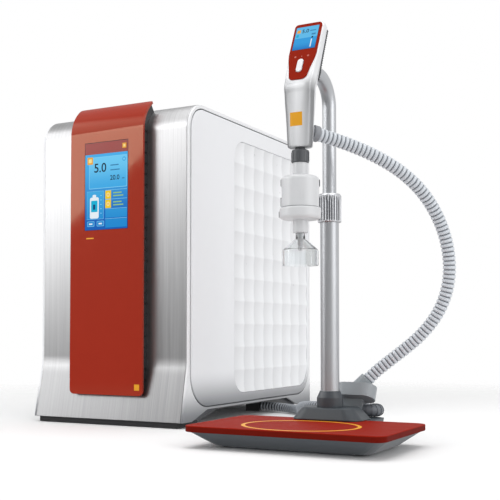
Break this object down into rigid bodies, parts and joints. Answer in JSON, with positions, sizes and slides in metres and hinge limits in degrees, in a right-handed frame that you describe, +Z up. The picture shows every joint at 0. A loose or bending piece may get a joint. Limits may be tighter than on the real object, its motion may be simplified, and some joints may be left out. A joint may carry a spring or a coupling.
{
  "type": "laboratory water purification system",
  "caption": "Bench water purifier: steel cabinet with a red display fascia, joined by a ribbed lead to a tray stand whose sliding column carries a dispensing handset with a filter.",
  "frame": {"origin": "middle of the footprint on the bench, with the hoses left out", "axes": "+Z up, -Y to the front of the cabinet and the tray, +X to the stand's side"},
  "size_m": [0.7374, 0.716, 0.5872],
  "materials": {
    "brushed_steel": "vertical brushing",
    "frame_grey": "fine matt",
    "cover_white": "gloss white",
    "insert_white": "satin white with dimples",
    "chassis_dark": "matt dark grey",
    "rubber": "matt black",
    "rear_grey": "powder coat",
    "fitting_white": "moulded",
    "black_plastic": "moulded",
    "rocker_red": "gloss",
    "gloss_red": "gloss",
    "screen": "lit display",
    "module_dark": "moulded",
    "sheet_steel": "plain sheet",
    "board_green": "solder mask",
    "aluminium": "satin",
    "pack_white": "moulded",
    "head_blue": "moulded",
    "brass": "machined",
    "slate_paint": "satin slate grey",
    "ring_yellow": "inlay",
    "dark_grey": "moulded",
    "tube_metal": "satin",
    "hub_grey": "moulded",
    "lead_dark": "ribbed conduit",
    "hose_pale": "ribbed hose",
    "shell_silver": "silver-white",
    "button_white": "moulded",
    "filter_white": "moulded",
    "membrane": "pleated",
    "bell_clear": "clear"
  },
  "bodies": {
    "base": {"front_panel": "brushed_steel", "side_frame_left": "frame_grey", "side_frame_right": "frame_grey", "side_cover_left": "cover_white", "side_cover_right": "cover_white", "side_insert_left": "insert_white", "side_insert_right": "insert_white", "base_chassis": "chassis_dark", "front_strip": "rubber", "rubber_feet": "rubber", "rear_panel": "rear_grey", "water_fittings": "fitting_white", "power_inlet": "black_plastic", "switch_frame": "black_plastic", "umbilical_gland": "black_plastic", "fascia_cover": "gloss_red", "fascia_frame": "black_plastic", "display_lens": "screen", "display_module": "module_dark", "inner_wall": "sheet_steel", "control_board": "board_green", "power_supply": "aluminium", "purification_packs": "pack_white", "pack_head": "head_blue", "membrane_housing": "pack_white", "uv_chamber": "aluminium", "pump_body": "black_plastic", "valve_block": "brass", "tray_skirt": "slate_paint", "tray_top": "gloss_red", "target_ring": "ring_yellow", "pedestal": "slate_paint", "column_collar": "dark_grey", "lower_tube": "tube_metal", "collet": "fitting_white", "hose_hub": "hub_grey", "hose_socket": "fitting_white", "umbilical_boot": "dark_grey", "umbilical_hose": "lead_dark", "dispense_hose_lower": "hose_pale"},
    "mast": {"upper_tube": "tube_metal", "holder_plug": "dark_grey", "dispense_hose_upper": "hose_pale"},
    "handset": {"handset_front": "shell_silver", "handset_rear": "shell_silver", "handset_face": "gloss_red", "handset_display": "screen", "handset_board": "board_green", "handset_valve": "dark_grey", "handset_boot": "dark_grey", "filter_body": "filter_white", "filter_base": "filter_white", "filter_membrane": "membrane"},
    "clamp": {"clamp_ring": "tube_metal"},
    "button": {"dispense_button": "button_white"},
    "nut": {"filter_nut": "dark_grey"},
    "bell": {"bell": "bell_clear"},
    "rocker": {"power_rocker": "rocker_red"},
    "rotor": {"pump_rotor": "fitting_white"}
  },
  "joints": [
    {"name": "mast_height", "type": "slide", "parent": "base", "child": "mast", "axis": [0, 0, 1], "range_m": [-0.1, 0.08], "deforming": ["dispense_hose_lower"]},
    {"name": "clamp_turn", "type": "hinge", "parent": "base", "child": "clamp", "pos_m": [0.21475, -0.183, 0.3345], "axis": [0, 0, 1], "range_deg": [0, 90]},
    {"name": "handset_pull", "type": "slide", "parent": "mast", "child": "handset", "axis": [0, -1, 0], "range_m": [0, 0.05], "deforming": ["dispense_hose_upper"]},
    {"name": "button_press", "type": "slide", "parent": "handset", "child": "button", "axis": [0, 0.9063, -0.4226], "range_m": [0, 0.0015], "stiffness_N_per_m": 400},
    {"name": "nut_turn", "type": "hinge", "parent": "handset", "child": "nut", "pos_m": [0.21475, -0.284, 0.393], "axis": [0, 0, 1], "range_deg": [0, 90]},
    {"name": "bell_pull", "type": "slide", "parent": "handset", "child": "bell", "axis": [0, 0, -1], "range_m": [0, 0.035]},
    {"name": "rocker_tilt", "type": "hinge", "parent": "base", "child": "rocker", "pos_m": [-0.1497, 0.336, 0.086], "axis": [-1, 0, 0], "range_deg": [0, 16]},
    {"name": "pump_spin", "type": "hinge", "parent": "base", "child": "rotor", "pos_m": [-0.27615, 0.128, 0.13], "axis": [0, 0, 1], "continuous": true}
  ]
}
